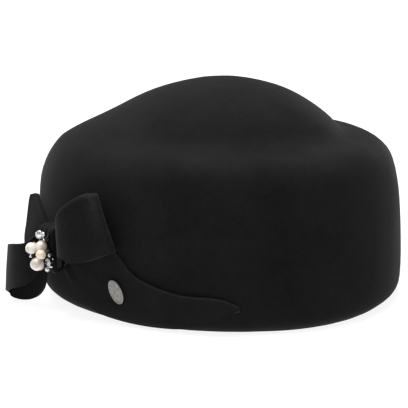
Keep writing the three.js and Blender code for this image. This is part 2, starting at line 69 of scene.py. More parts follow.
crown_low, crown_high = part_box("crown")
centre = (crown_low + crown_high) / 2
aim = Vector((centre.x, centre.y, AIM_HEIGHT))
sideways = Vector((math.sin(TURNED), math.cos(TURNED), 0))
forward = sideways * math.cos(LOOKS_DOWN) - Vector((0, 0, math.sin(LOOKS_DOWN)))
camera_data = bpy.data.cameras.new("camera")
camera_data.sensor_width = SENSOR
camera_data.lens = SENSOR * FOCAL_PIXELS / PHOTO_SIDE
camera_data.shift_x = 0.5 - AIM_PIXEL[0] / PHOTO_SIDE
camera_data.shift_y = AIM_PIXEL[1] / PHOTO_SIDE - 0.5
camera = bpy.data.objects.new("camera", camera_data)
camera.location = aim - forward * DISTANCE
camera.rotation_euler = forward.to_track_quat("-Z", "Y").to_euler()
bpy.context.scene.collection.objects.link(camera)
bpy.context.scene.camera = camera
print("camera", [round(value, 3) for value in camera.location], "lens", round(camera_data.lens, 1))

# %% [markdown]
# The photograph has a pure white ground with no shadow. A white floor would go grey under the hat, so
# this one is a pale sheet that glows, and the lamps take it past white. Black felt shows only soft
# light: one wide lamp overhead draws the dome and the rounded shoulder, and two dim ones lift the wall
# and its right-hand end.

# %% Floor, sky and lamps
FLOOR_SIDE = 12
FLOOR_GREY = 0.25
FLOOR_GLOW = 0.88
SKY = 0.25
LAMPS = {
    "top_lamp": {"place": (-0.3, 0.14, 1.5), "size": 1.4, "watts": 43},
    "front_lamp": {"place": (0.4, -1.6, 1.2), "size": 1.2, "watts": 2.8},
    "right_lamp": {"place": (1.5, 0.3, 0.6), "size": 0.9, "watts": 0.4},
}


def nothing_selected():
    if bpy.context.object and bpy.context.object.mode != "OBJECT":
        bpy.ops.object.mode_set(mode="OBJECT")
    bpy.ops.object.select_all(action="DESELECT")


nothing_selected()
bpy.ops.mesh.primitive_plane_add(size=FLOOR_SIDE)
floor = bpy.context.object
floor.name = "floor"
paper = bpy.data.materials.new("lit_paper")
paper.use_nodes = True
paper_shader = paper.node_tree.nodes["Principled BSDF"]
paper_shader.inputs["Base Color"].default_value = (FLOOR_GREY, FLOOR_GREY, FLOOR_GREY, 1)
paper_shader.inputs["Roughness"].default_value = 1
paper_shader.inputs["Specular IOR Level"].default_value = 0
paper_shader.inputs["Emission Color"].default_value = (1, 1, 1, 1)
paper_shader.inputs["Emission Strength"].default_value = FLOOR_GLOW
floor.data.materials.append(paper)

world = bpy.data.worlds.new("sky")
bpy.context.scene.world = world
world.use_nodes = True
world.node_tree.nodes["Background"].inputs["Color"].default_value = (1, 1, 1, 1)
world.node_tree.nodes["Background"].inputs["Strength"].default_value = SKY
for name, lamp in LAMPS.items():
    light = bpy.data.lights.new(name, "AREA")
    light.size = lamp["size"]
    light.energy = lamp["watts"]
    holder = bpy.data.objects.new(name, light)
    holder.location = lamp["place"]
    holder.rotation_euler = (aim - holder.location).to_track_quat("-Z", "Y").to_euler()
    bpy.context.scene.collection.objects.link(holder)
bpy.context.scene.view_settings.view_transform = "Standard"
print("lamps:", list(LAMPS))

# %% [markdown]
# A finish could be wired by hand, node by node, but then its sums are hard to read. This small class
# wraps one socket, and each operator on it adds a Math node. Every other node comes from one method
# that takes its type, its settings and what goes into its sockets.


# %% Shader values as expressions
class Value:
    def __init__(self, tree, socket):
        self.tree = tree
        self.socket = socket

    def math(self, operation, *others, clamp=False):
        made = self.tree.node("ShaderNodeMath", {"operation": operation, "use_clamp": clamp})
        for index, item in enumerate((self, *others)):
            self.tree.feed(made.inputs[index], item)
        return Value(self.tree, made.outputs[0])

    def __add__(self, other):
        return self.math("ADD", other)

    def __sub__(self, other):
        return self.math("SUBTRACT", other)

    def __rsub__(self, other):
        return (self * -1) + other

    def __mul__(self, other):
        return self.math("MULTIPLY", other)

    __radd__ = __add__
    __rmul__ = __mul__

    def clamped(self):
        return self.math("ADD", 0, clamp=True)


class Finish:
    def __init__(self, name):
        self.material = bpy.data.materials.new(name)
        self.material.use_nodes = True
        self.links = self.material.node_tree.links
        self.nodes = self.material.node_tree.nodes
        self.shader = self.nodes["Principled BSDF"]

    def feed(self, socket, item):
        if isinstance(item, Value):
            self.links.new(item.socket, socket)
        else:
            socket.default_value = item

    def node(self, kind, settings=None, **inputs):
        made = self.nodes.new(kind)
        for name, setting in (settings or {}).items():
            setattr(made, name, setting)
        for name, item in inputs.items():
            self.feed(made.inputs[name.replace("_", " ")], item)
        return made

    def value(self, kind, output, settings=None, **inputs):
        return Value(self, self.node(kind, settings, **inputs).outputs[output])

    def place(self):
        return self.value("ShaderNodeTexCoord", "Object")

    def noise(self, scale, detail=2, roughness=0.5, vector=None):
        where = vector or self.place()
        return self.value(
            "ShaderNodeTexNoise", "Fac", Vector=where, Scale=scale, Detail=detail, Roughness=roughness
        )

    def attribute(self, name):
        return self.value("ShaderNodeAttribute", "Fac", {"attribute_name": name})

    def ramp(self, value, stops):
        made = self.node("ShaderNodeValToRGB", Fac=value)
        elements = made.color_ramp.elements
        while len(elements) < len(stops):
            elements.new(0.5)
        for element, (position, colour) in zip(elements, stops):
            element.position = position
            element.color = (*colour, 1)
        return Value(self, made.outputs["Color"])

    def bump(self, height, distance, strength=1, before=None):
        inputs = {"Height": height, "Distance": distance, "Strength": strength}
        if before:
            inputs["Normal"] = before
        return self.value("ShaderNodeBump", "Normal", **inputs)

    def set(self, **inputs):
        for name, item in inputs.items():
            self.feed(self.shader.inputs[name.replace("_", " ")], item)
        return self.material


# %% [markdown]
# Blocked wool felt is a mat of fine fibres with no weave. It is close to black, never even: fibres lie
# in small clouds that are a shade lighter or darker, and their loose ends catch light at a slant. Hair
# strands could show them, but from this far away they are finer than a pixel. So the finish has clouds
# at three scales, a fine bump for the nap, high roughness and a sheen. A painted highlight lies along a
# strip's cut edges, which its texture coordinates find. Attributes say where the near loop has a painted
# highlight, where it faces the light and along its high edge, and where a loop's inside is painted in
# shade.


# %% Felt
# darkest tone: darker fibre clouds, and the painted shade inside the loops
DARK_FIBRE_AND_SHADE = (0.001, 0.001, 0.001)
# where the painted highlight along a strip's cut edges begins, and how light it is
CUT_HIGHLIGHT_STARTS = 0.94
CUT_PAINTED_HIGHLIGHT = 0.13
# painted highlight on the near loop: where it faces the light, and along its high edge
LOOP_PAINTED_HIGHLIGHT = 0.32
# painted shade on the loops' inner sides
INSIDE_PAINTED_SHADE = 0.45
# lightest tone: lighter fibre clouds, and the painted highlights on the strips
LIGHT_FIBRE_AND_HIGHLIGHT = 2.4


def felt_finish(name, dark, light, sheen, nap, strip=False):
    finish = Finish(name)
    clouds = finish.noise(38, detail=4, roughness=0.6)
    flecks = finish.noise(420, detail=3, roughness=0.65)
    hairs = finish.noise(1900, detail=2, roughness=0.7)
    shade = clouds * 0.45 + flecks * 0.35 + hairs * 0.2
    if strip:
        place = finish.value("ShaderNodeTexCoord", "UV")
        across = finish.value("ShaderNodeSeparateXYZ", "Y", Vector=place)
        # painted highlight along both cut edges of the strip, as if they caught the light from above
        cut = (((across * 2 - 1).math("ABSOLUTE") - CUT_HIGHLIGHT_STARTS) * 17).clamped()
        shade = shade + cut * CUT_PAINTED_HIGHLIGHT
        # painted highlight where the near loop faces the light and along its high edge
        shade = shade + finish.attribute("painted_highlight") * LOOP_PAINTED_HIGHLIGHT
        # painted shade on a loop's inner side, where little light reaches
        shade = shade - finish.attribute("inside") * INSIDE_PAINTED_SHADE
    # the ramp's ends carry the painted shade and the painted highlights as well as the fibres' own tones
    stops = [(0, DARK_FIBRE_AND_SHADE), (0.34, dark), (0.66, light), (1, [tone * LIGHT_FIBRE_AND_HIGHLIGHT for tone in light])]
    colour = finish.ramp(shade, stops)
    pressed = finish.bump(clouds, 0.6 * mm, 0.35)
    surface = finish.bump(flecks * 0.6 + hairs * 0.4, nap, 0.9, pressed)
    finish.shader.inputs["Sheen Weight"].default_value = sheen
    finish.shader.inputs["Sheen Roughness"].default_value = 0.42
    finish.shader.inputs["Specular IOR Level"].default_value = 0.08
    return finish.set(Base_Color=colour, Roughness=0.9 + (flecks - 0.5) * 0.12, Normal=surface)


FELT_DARK = (0.0045, 0.0045, 0.0047)
FELT_LIGHT = (0.0112, 0.0112, 0.0115)
BOW_LIGHT = (0.0115, 0.0115, 0.0119)
felt = felt_finish("wool_felt", FELT_DARK, FELT_LIGHT, 0.06, 0.22 * mm)
bow_felt = felt_finish("bow_felt", FELT_DARK, BOW_LIGHT, 0.06, 0.18 * mm, strip=True)
print("finishes:", felt.name, bow_felt.name)

# %% [markdown]
# Every soft piece follows the crown's outline, which is an egg seen from above: the bow's end is the
# narrower one. The pieces could be shrink-wrapped on the CAD mesh, but its facets would show. These two
# tables are the crown's rings as shares of its sizes, the same shares as in the CAD model, and the
# functions give a point of the wall at a turn, a height and a stand-off.

# %% The crown's outline
EGG = 0.127
WALL_HEIGHT = 89 * mm
KNOT_TURN = 34
KNOT_UP = 37.5 * mm
GAP = 0.3 * mm
CROWN_FELT = 2.4 * mm
BOW_FELT = 2.2 * mm

# up is a share of the wall's height, left and right of half the length, side of half the width
WALL_RINGS = [
    {"up": 0, "left": 0.91, "right": 0.926, "side": 0.92},
    {"up": 0.03, "left": 0.955, "right": 0.965, "side": 0.96},
    {"up": 0.06, "left": 0.979, "right": 0.985, "side": 0.981},
    {"up": 0.1, "left": 0.992, "right": 0.995, "side": 0.992},
    {"up": 0.25, "left": 1, "right": 1, "side": 1},
    {"up": 0.45, "left": 1, "right": 0.99, "side": 0.995},
    {"up": 0.62, "left": 1, "right": 0.978, "side": 0.985},
    {"up": 0.75, "left": 0.987, "right": 0.962, "side": 0.966},
    {"up": 0.85, "left": 0.957, "right": 0.938, "side": 0.94},
    {"up": 0.91, "left": 0.927, "right": 0.912, "side": 0.915},
    {"up": 0.955, "left": 0.9, "right": 0.868, "side": 0.878},
    {"up": 0.985, "left": 0.878, "right": 0.82, "side": 0.835},
    {"up": 1, "left": 0.86, "right": 0.74, "side": 0.8},
]

# here up is a share of the dome's height
DOME_RINGS = [
    {"up": 0.06, "left": 0.83, "right": 0.665, "side": 0.74},
    {"up": 0.13, "left": 0.79, "right": 0.64, "side": 0.685},
    {"up": 0.2, "left": 0.75, "right": 0.62, "side": 0.64},
    {"up": 0.32, "left": 0.67, "right": 0.583, "side": 0.595},
    {"up": 0.45, "left": 0.582, "right": 0.528, "side": 0.545},
    {"up": 0.58, "left": 0.508, "right": 0.47, "side": 0.487},
    {"up": 0.7, "left": 0.431, "right": 0.403, "side": 0.42},
    {"up": 0.82, "left": 0.335, "right": 0.32, "side": 0.33},
    {"up": 0.9, "left": 0.243, "right": 0.233, "side": 0.245},
    {"up": 0.96, "left": 0.155, "right": 0.15, "side": 0.15},
    {"up": 0.99, "left": 0.07, "right": 0.07, "side": 0.07},
]

crown_size = crown_high - crown_low
half_length = crown_size.x / 2
one_side = [math.radians(step) for step in range(181)]
widest = max(math.sin(turn) * (1 - EGG * math.cos(turn)) for turn in one_side)
half_width = crown_size.y / 2 / widest
dome_height = crown_size.z - WALL_HEIGHT
print("crown", [round(value / mm, 1) for value in crown_size], "mm")


# %% Points on the wall
def sized(rings, foot, height):
    return [
        {
            "z": foot + ring["up"] * height,
            "left": ring["left"] * half_length,
            "right": ring["right"] * half_length,
            "side": ring["side"] * half_width,
        }
        for ring in rings
    ]


wall_rings = sized(WALL_RINGS, 0, WALL_HEIGHT)
rings = wall_rings + sized(DOME_RINGS, WALL_HEIGHT, dome_height)


def ring_point(ring, turn):
    cosine = math.cos(turn)
    half = ring["left"] if cosine > 0 else ring["right"]
    y = -ring["side"] * math.sin(turn) * (1 - EGG * cosine)
    return Vector((centre.x - half * cosine, centre.y + y, ring["z"]))


def ring_at(z):
    index = 0
    while index < len(wall_rings) - 2 and wall_rings[index + 1]["z"] < z:
        index += 1
    below, above = wall_rings[index], wall_rings[index + 1]
    share = (z - below["z"]) / (above["z"] - below["z"])
    return {key: below[key] + (above[key] - below[key]) * share for key in below}


def wall_out(ring, turn):
    ahead = ring_point(ring, turn + 0.001)
    along = (ahead - ring_point(ring, turn - 0.001)).normalized()
    return along.cross(Vector((0, 0, 1)))


def wall_point(turn, z, out):
    ring = ring_at(z)
    ring["z"] = z
    return ring_point(ring, turn) + wall_out(ring, turn) * out


print("rings:", len(rings))

# %% [markdown]
# Each piece is shaped in edit mode and finished with modifiers, as by hand. An operator acts on all
# that is selected, so these helpers first clear the selection, and then pick vertices, edges or faces
# by where they lie.


# %% Helpers for edit mode
def apply_all(piece):
    nothing_selected()
    piece.select_set(True)
    bpy.context.view_layer.objects.active = piece
    for modifier in list(piece.modifiers):
        bpy.ops.object.modifier_apply(modifier=modifier.name)


def pick(piece, chosen, kind="VERT"):
    """Leaves only the chosen vertices, edges or faces of the piece in edit mode selected."""
    mesh = bmesh.from_edit_mesh(piece.data)
    bpy.context.tool_settings.mesh_select_mode = (kind == "VERT", kind == "EDGE", kind == "FACE")
    for group in (mesh.faces, mesh.edges, mesh.verts):
        for item in group:
            item.select = False
    items = {"VERT": mesh.verts, "EDGE": mesh.edges, "FACE": mesh.faces}[kind]
    for item in items:
        if chosen(item):
            item.select_set(True)
    mesh.select_flush(True)
    bmesh.update_edit_mesh(piece.data)


def outward(piece):
    bpy.ops.object.mode_set(mode="EDIT")
    bpy.ops.mesh.select_all(action="SELECT")
    bpy.ops.mesh.normals_make_consistent(inside=False)
    bpy.ops.object.mode_set(mode="OBJECT")


print("helpers ready")

# %% [markdown]
# A milliner pulls a felt hood over a wooden block, so the crown has no seams. Spinning a profile would
# give a round hat, and this one is egg-shaped. So one circle is drawn as the rim and extruded upwards
# ring by ring. The two ends of the hat differ, so each new ring is scaled twice: all of it, and then
# its bow end alone.

# %% Crown
CROWN_SIDES = 96
SAME_PLACE = 1e-6


def make_crown():
    nothing_selected()
    rim = rings[0]
    bpy.ops.mesh.primitive_circle_add(vertices=CROWN_SIDES, radius=1, location=(0, 0, 0))
    piece = bpy.context.object
    piece.name = "felt_crown"
    for vertex in piece.data.vertices:
        vertex.co.y *= 1 + EGG * vertex.co.x
    bpy.ops.object.mode_set(mode="EDIT")
    bpy.ops.mesh.select_all(action="SELECT")
    now = {"left": 1, "right": 1, "side": 1, "z": 0}
    for index, ring in enumerate(rings):
        if index:
            rise = (0, 0, ring["z"] - now["z"])
            bpy.ops.mesh.extrude_edges_move(TRANSFORM_OT_translate={"value": rise})
        middle = (0, 0, ring["z"])
        scale = (ring["right"] / now["right"], ring["side"] / now["side"], 1)
        bpy.ops.transform.resize(value=scale, center_override=middle)
        z = ring["z"]
        pick(piece, lambda v: abs(v.co.z - z) < SAME_PLACE and v.co.x < -SAME_PLACE)
        bow_end = (ring["left"] / now["left"] / scale[0], 1, 1)
        bpy.ops.transform.resize(value=bow_end, center_override=middle)
        pick(piece, lambda v: abs(v.co.z - z) < SAME_PLACE)
        now = ring
    top = crown_size.z - now["z"]
    bpy.ops.mesh.extrude_edges_move(TRANSFORM_OT_translate={"value": (0, 0, top)})
    bpy.ops.mesh.merge(type="CENTER")
    bpy.ops.object.mode_set(mode="OBJECT")
    piece.data.transform(Matrix.Translation((centre.x, centre.y, 0)))
    outward(piece)
    smooth = piece.modifiers.new("smooth", "SUBSURF")
    smooth.levels = smooth.render_levels = 1
    apply_all(piece)
    return piece


crown = make_crown()
print("rings of the crown:", len(rings), "with", CROWN_SIDES, "sides")

# %% [markdown]
# So far the crown is a skin. Handling leaves soft dents in felt, which noise along each point's normal
# gives, and a Solidify modifier then makes the wall, so that both of its sides are dented alike. A
# bevel rounds the cut rim, which on real felt is never sharp.

# %% Thickness, dents and the crown's finish
RIM_ROUND = 0.55 * mm
DENT = 0.35 * mm
DENT_SIZE = 30 * mm


def thicken(piece, thickness, offset, edge_round):
    """Gives a sheet of felt its thickness, and rounds its cut edge."""
    wall = piece.modifiers.new("thickness", "SOLIDIFY")
    wall.thickness = thickness
    wall.offset = offset
    wall.use_even_offset = True
    wall.material_offset = 1
    edge = piece.modifiers.new("edge", "BEVEL")
    edge.width = edge_round
    edge.segments = 3
    edge.limit_method = "ANGLE"
    edge.angle_limit = math.radians(50)
    apply_all(piece)


def handled(piece, depth, size):
    """Moves each point in or out a little along its normal, as felt that has been handled."""
    for vertex in piece.data.vertices:
        push = noise.noise(vertex.co / size) + 0.4 * noise.noise(vertex.co * 2.7 / size)
        vertex.co += vertex.normal * push * depth


def finished(piece, material, node_names):
    """Smooths the shading, gives the finish, hangs the piece under the root and hides the CAD nodes it
    stands for.
    """
    nothing_selected()
    piece.select_set(True)
    bpy.context.view_layer.objects.active = piece
    bpy.ops.object.shade_smooth_by_angle(angle=math.radians(40))
    piece.data.materials.clear()
    piece.data.materials.append(material)
    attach(piece, "root")
    if node_names:
        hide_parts(*node_names)
    print(piece.name, "faces:", len(piece.data.polygons))
    return piece


handled(crown, DENT, DENT_SIZE)
thicken(crown, CROWN_FELT, -1, RIM_ROUND)
finished(crown, felt, ["crown"])

# %% [markdown]
# The bow is cut from flat strips of thinner felt. A cloth simulation could fold them, but not to the
# very folds of this bow. So each strip starts as a flat grid. Its length runs through the rows of a
# short table and its width across them, so every row says where one fold or turn of the strip lies. A
# smooth curve joins the rows.


# %% A smooth curve through the rows
def through(points, share):
    """A point of the smooth curve through the points, spaced by the square root of their distances."""
    knots = [0.0]
    for before, after in zip(points, points[1:]):
        knots.append(knots[-1] + max((after - before).length, 1e-9) ** 0.5)
    at = share * knots[-1]
    index = max(i for i in range(len(points) - 1) if knots[i] <= at + 1e-12)
    start, end = points[index], points[index + 1]
    before = points[index - 1] if index else start * 2 - end
    after = points[index + 2] if index + 2 < len(points) else end * 2 - start
    t1, t2 = knots[index], knots[index + 1]
    t0 = knots[index - 1] if index else t1 - (t2 - t1)
    t3 = knots[index + 2] if index + 2 < len(points) else t2 + (t2 - t1)
    a1 = before.lerp(start, (at - t0) / (t1 - t0))
    a2 = start.lerp(end, (at - t1) / (t2 - t1))
    a3 = end.lerp(after, (at - t2) / (t3 - t2))
    b1 = a1.lerp(a2, (at - t0) / (t2 - t0))
    b2 = a2.lerp(a3, (at - t1) / (t3 - t1))
    return b1.lerp(b2, (at - t1) / (t2 - t1))


# %% Strips of felt
STRIP_EDGE = 0.75 * mm


def make_strip(name, length_steps, width_steps, place):
    """A grid whose corner-to-corner shares (along, across) are laid out by place."""
    nothing_selected()
    bpy.ops.mesh.primitive_grid_add(x_subdivisions=length_steps, y_subdivisions=width_steps, size=1)
    piece = bpy.context.object
    piece.name = name
    piece.data.materials.append(bow_felt)
    piece.data.materials.append(bow_felt)
    for vertex in piece.data.vertices:
        vertex.co = place(vertex.co.x + 0.5, vertex.co.y + 0.5)
    return piece


def paint_highlight(piece, along):
    """Paints a highlight across the strip where the loop faces the light, and a painted highlight along
    its high edge.
    """
    # nap holds the painted highlight: a lit patch plus the lit high edge
    nap = piece.data.attributes.new("painted_highlight", "FLOAT", "POINT")
    for loop, uv in zip(piece.data.loops, piece.data.uv_layers.active.data):
        patch = math.exp(-(((uv.uv.x - along) / 0.05) ** 2)) * (0.3 + 0.7 * uv.uv.y)
        edge = min(max((uv.uv.y - 0.93) / 0.06, 0), 1)
        nap.data[loop.vertex_index].value = patch + 1.4 * edge


def mark_shaded_inside(piece):
    """Notes which faces are a loop's inner side, which the finish paints darker as shade: those of the
    second shell, which has its own number.
    """
    marks = piece.data.attributes.new("inside", "FLOAT", "FACE")
    for face in piece.data.polygons:
        marks.data[face.index].value = face.material_index


def declare_sheet(piece, cut):
    """Prints the size that a strip was cut to."""
    flat = (cut["width"], cut["length"])
    min(cut["area"], flat[0] * flat[1])
    print(piece.name, "cut to", [round(value / mm, 1) for value in flat], "mm")


def measured(piece, place):
    """The flat size of a strip: its area, its length along the middle and its widest row."""
    steps = [index / 60 for index in range(61)]
    middle = [place(step, 0.5) for step in steps]
    length = sum((after - before).length for before, after in zip(middle, middle[1:]))
    width = max((place(step, 1) - place(step, 0)).length for step in steps)
    return {"area": sum(face.area for face in piece.data.polygons), "length": length, "width": width}


# %% [markdown]
# The two tails lie on the wall. The long one runs just above the rim to a slanted tip, and the short
# one stands up at the hat's end, where its outer edge lifts off the wall. Both are laid out on the
# wall's own turns and heights, so that they follow its curve closely. Each row gives both edges, the
# low one first: their turns from the knot in degrees, their heights as shares of the wall's and their
# lifts as shares of the greatest. Small gathers start at the knot and die out.

# %% Tails
TAIL_LIFT = 6.8 * mm
GATHERS = 3
GATHER_DEPTH = 0.45 * mm
GATHER_REACH = 0.17
TAIL_CURL = 0.25 * mm
TAIL_KEYS = ("low_turn", "high_turn", "low", "high", "low_lift", "high_lift")
LONG_TAIL = [
    (0.4, 0.4, 0.31, 0.54, 0, 0),
    (4, 4, 0.2, 0.54, 0, 0),
    (9, 9, 0.12, 0.52, 0, 0),
    (15, 15, 0.06, 0.49, 0, 0),
    (22.5, 22.5, 0.035, 0.447, 0, 0),
    (28, 28, 0.026, 0.337, 0, 0),
    (34, 34, 0.024, 0.281, 0, 0),
    (43, 43, 0.036, 0.238, 0, 0),
    (47, 47, 0.06, 0.234, 0, 0),
    (51.5, 51.5, 0.095, 0.233, 0, 0),
    (55.5, 55.5, 0.127, 0.219, 0, 0),
    (59.5, 59.5, 0.162, 0.18, 0, 0),
]
SHORT_TAIL = [
    (-0.4, -0.4, 0.31, 0.52, 0, 0),
    (-6, -4, 0.3, 0.52, 0.02, 0),
    (-12, -7.5, 0.3, 0.515, 0.33, 0),
    (-18, -10, 0.31, 0.52, 0.74, 0),
    (-23, -11.5, 0.335, 0.54, 1, 0),
    (-25.3, -13.2, 0.39, 0.57, 0.95, 0),
    (-25.3, -15.6, 0.47, 0.605, 0.77, 0),
    (-25.3, -18.5, 0.57, 0.64, 0.58, 0.03),
    (-25.2, -22, 0.65, 0.665, 0.44, 0.05),
]


def make_tail(name, table, length_steps):
    rows = [Vector(row) for row in table]

    def place(along, across):
        at = dict(zip(TAIL_KEYS, through(rows, along)))
        turn = at["low_turn"] + (at["high_turn"] - at["low_turn"]) * across
        z = (at["low"] + (at["high"] - at["low"]) * across) * WALL_HEIGHT
        lift = max(at["low_lift"] + (at["high_lift"] - at["low_lift"]) * across, 0) * TAIL_LIFT
        wave = 1 - math.cos(GATHERS * 2 * math.pi * across)
        gather = GATHER_DEPTH * wave * math.exp(-along / GATHER_REACH)
        away = lift + gather + TAIL_CURL * (2 * across - 1) ** 4
        return wall_point(math.radians(KNOT_TURN + turn), z, GAP + BOW_FELT / 2 + away)

    piece = make_strip(name, length_steps, 20, place)
    cut = measured(piece, place)
    outward(piece)
    thicken(piece, BOW_FELT, 0, STRIP_EDGE)
    return piece, cut


long_tail, cut = make_tail("felt_long_tail", LONG_TAIL, 90)
finished(long_tail, bow_felt, ["long_tail"])
declare_sheet(long_tail, cut)
short_tail, cut = make_tail("felt_short_tail", SHORT_TAIL, 48)
finished(short_tail, bow_felt, ["short_tail"])
declare_sheet(short_tail, cut)

# %% [markdown]
# Each loop leaves the knot as the front layer, runs out, folds and comes back as the back layer. One
# strip, bent back on itself, gives the round fold that two flat pieces would not. The table gives the
# strip's two edges: how far along the wall they are as shares of the loop's length, how far they stand
# off as shares of the stand-off, and how high they are as shares of the loop's width. The front layer
# puffs out a little, and flares at its low edge where it is free of the knot.

# %% Tables of the loops
LOOP_LENGTH = 40 * mm
LOOP_WIDTH = 36 * mm
LOOP_STAND = 12 * mm
GATHER_SLACK = 0.8 * mm
FLARES = {1: 1.6 * mm, -1: 0}
PUFFS = {1: 1.1 * mm, -1: 0.2 * mm}
# where along the near loop its painted highlight lies
HIGHLIGHT_ALONG = 0.5
wrap_back = GAP + BOW_FELT + GAP
hollow_back = wrap_back + BOW_FELT
back_layer = hollow_back + GAP + BOW_FELT / 2
front_layer = back_layer + BOW_FELT + GATHER_SLACK
hollow_front = front_layer + BOW_FELT / 2 + GAP
wrap_front = hollow_front + BOW_FELT
brooch_back = wrap_front + GAP
LOOP_KEYS = ("along_low", "along_high", "layer", "out_low", "out_high", "low", "high")
NEAR_LOOP = [
    (0.012, 0.012, 1, 0, 0, -0.26, 0.26),
    (0.15, 0.15, 1, 0, 0, -0.26, 0.27),
    (0.215, 0.22, 1, 0.16, 0.25, -0.08, 0.49),
    (0.31, 0.298, 1, 0.32, 0.34, -0.015, 0.665),
    (0.445, 0.4, 1, 0.32, 0.29, -0.07, 0.785),
    (0.615, 0.515, 1, 0.2, 0.14, -0.04, 0.89),
    (0.79, 0.612, 1, 0.06, -0.07, 0.04, 0.945),
    (0.93, 0.668, 1, -0.08, -0.2, 0.115, 0.957),
    (0.982, 0.692, 0.5, -0.12, -0.22, 0.133, 0.945),
    (0.9, 0.65, 0, -0.16, -0.26, 0.083, 0.89),
    (0.712, 0.56, 0, -0.16, -0.24, 0, 0.79),
    (0.507, 0.447, 0, -0.11, -0.16, -0.045, 0.67),
    (0.31, 0.298, 0, -0.06, -0.06, -0.08, 0.48),
    (0.16, 0.16, 0, 0, 0, -0.24, 0.26),
    (0.012, 0.012, 0, 0, 0, -0.26, 0.26),
]
FAR_LOOP = [
    (0.012, 0.012, 1, 0, 0, -0.26, 0.26),
    (0.155, 0.155, 1, 0, 0, -0.26, 0.26),
    (0.215, 0.215, 1, 0.31, 0.31, -0.47, 0.15),
    (0.29, 0.29, 1, 0.66, 0.66, -0.61, 0.04),
    (0.42, 0.42, 1, 0.9, 0.84, -0.7, -0.015),
    (0.548, 0.548, 1, 0.98, 0.85, -0.77, -0.06),
    (0.675, 0.658, 1, 0.97, 0.8, -0.845, -0.118),
    (0.765, 0.728, 1, 0.9, 0.68, -0.91, -0.155),
    (0.795, 0.75, 0.5, 0.88, 0.64, -0.985, -0.173),
    (0.76, 0.72, 0, 0.87, 0.62, -1.015, -0.188),
    (0.653, 0.623, 0, 0.55, 0.42, -1.018, -0.205),
    (0.478, 0.478, 0, 0.2, 0.19, -0.945, -0.155),
    (0.303, 0.303, 0, 0.03, 0.03, -0.74, -0.04),
    (0.16, 0.16, 0, 0, 0, -0.26, 0.24),
    (0.012, 0.012, 0, 0, 0, -0.26, 0.26),
]
print("rows of the loops:", len(NEAR_LOOP), len(FAR_LOOP))

# %% Loops
TURN_STEP = math.radians(0.25)
FREE_STARTS = 0.2
FREE_RUN = 0.25
knot_ring = ring_at(KNOT_UP)
knot_ring["z"] = KNOT_UP


def turn_along(length):
    """The turn reached by going a length along the wall from the knot's middle."""
    turn = math.radians(KNOT_TURN)
    left = abs(length)
    step = math.copysign(TURN_STEP, length)
    while True:
        stretch = (ring_point(knot_ring, turn) - ring_point(knot_ring, turn + step)).length
        if stretch >= left:
            return turn + step * left / stretch
        left -= stretch
        turn += step


def loop_point(along, out, rise):
    turn = turn_along(along)
    point = ring_point(knot_ring, turn) + wall_out(knot_ring, turn) * out
    return point + Vector((0, 0, rise))


def make_loop(name, table, way):
    rows = [dict(zip(LOOP_KEYS, row)) for row in table]
    lines = {}

    def line(across):
        if across not in lines:
            points = []
            for row in rows:
                level = back_layer + (front_layer - back_layer) * row["layer"]
                along = row["along_low"] + (row["along_high"] - row["along_low"]) * across
                out = row["out_low"] + (row["out_high"] - row["out_low"]) * across
                rise = row["low"] + (row["high"] - row["low"]) * across
                free = min(max((row["along_low"] - FREE_STARTS) / FREE_RUN, 0), 1) * row["layer"]
                swell = FLARES[way] * (1 - across) ** 4 + PUFFS[way] * math.sin(math.pi * across) ** 2
                stand = level + out * LOOP_STAND + swell * free
                points.append(loop_point(way * along * LOOP_LENGTH, stand, rise * LOOP_WIDTH))
            lines[across] = points
        return lines[across]

    def place(along, across):
        return through(line(round(across, 5)), along)

    piece = make_strip(name, 110, 24, place)
    # only the near loop gets the painted highlight
    if way > 0:
        paint_highlight(piece, HIGHLIGHT_ALONG)
    cut = measured(piece, place)
    outward(piece)
    thicken(piece, BOW_FELT, 0, STRIP_EDGE)
    mark_shaded_inside(piece)
    return piece, cut


near_loop, cut = make_loop("felt_near_loop", NEAR_LOOP, 1)
finished(near_loop, bow_felt, ["near_loop"])
declare_sheet(near_loop, cut)
far_loop, cut = make_loop("felt_far_loop", FAR_LOOP, -1)
finished(far_loop, bow_felt, ["far_loop"])
declare_sheet(far_loop, cut)

# %% [markdown]
# The knot is a strip of the same felt that goes once round the gathered loops, with a few soft pleats.
# A torus could stand for it, but its felt would be as thick as a sausage, so it is a strip that closes
# on itself. It and all that it carries are laid out in the knot's own axes: x along the wall, y up it
# and z straight out of it.

# %% The knot's axes and the line of its wrap
KNOT_WIDTH = 11.2 * mm
KNOT_HEIGHT = 25.4 * mm
KNOT_ROUND = 2.9 * mm
PLEATS = 3
PLEAT_DEPTH = 0.3 * mm
KNOT_ROLL = 0.2 * mm
ALONG_A_BIT = 0.004
SEAM = 0.01 * mm
knot_turn = math.radians(KNOT_TURN)
knot_out = wall_out(knot_ring, knot_turn)
knot_along = Vector((0, 0, 1)).cross(knot_out)
knot_axes = Matrix((knot_along, (0, 0, 1), knot_out)).transposed().to_4x4()
knot_axes.translation = ring_point(knot_ring, knot_turn)


def wrap_line():
    """Points (rise, out) once round the middle of the wrap's felt, from the back of the knot."""
    half = KNOT_HEIGHT / 2 - BOW_FELT / 2 - KNOT_ROUND
    back = wrap_back + BOW_FELT / 2 + KNOT_ROUND
    front = wrap_front - BOW_FELT / 2 - KNOT_ROUND
    points = [Vector((0, back - KNOT_ROUND))]
    for index, (rise, out) in enumerate([(half, back), (half, front), (-half, front), (-half, back)]):
        for step in range(9):
            angle = math.radians(90 * (index - 1 + step / 8))
            up = rise + KNOT_ROUND * math.cos(angle)
            away = out + KNOT_ROUND * math.sin(angle)
            points.append(Vector((up, away)))
    points.append(points[0].copy())
    return points


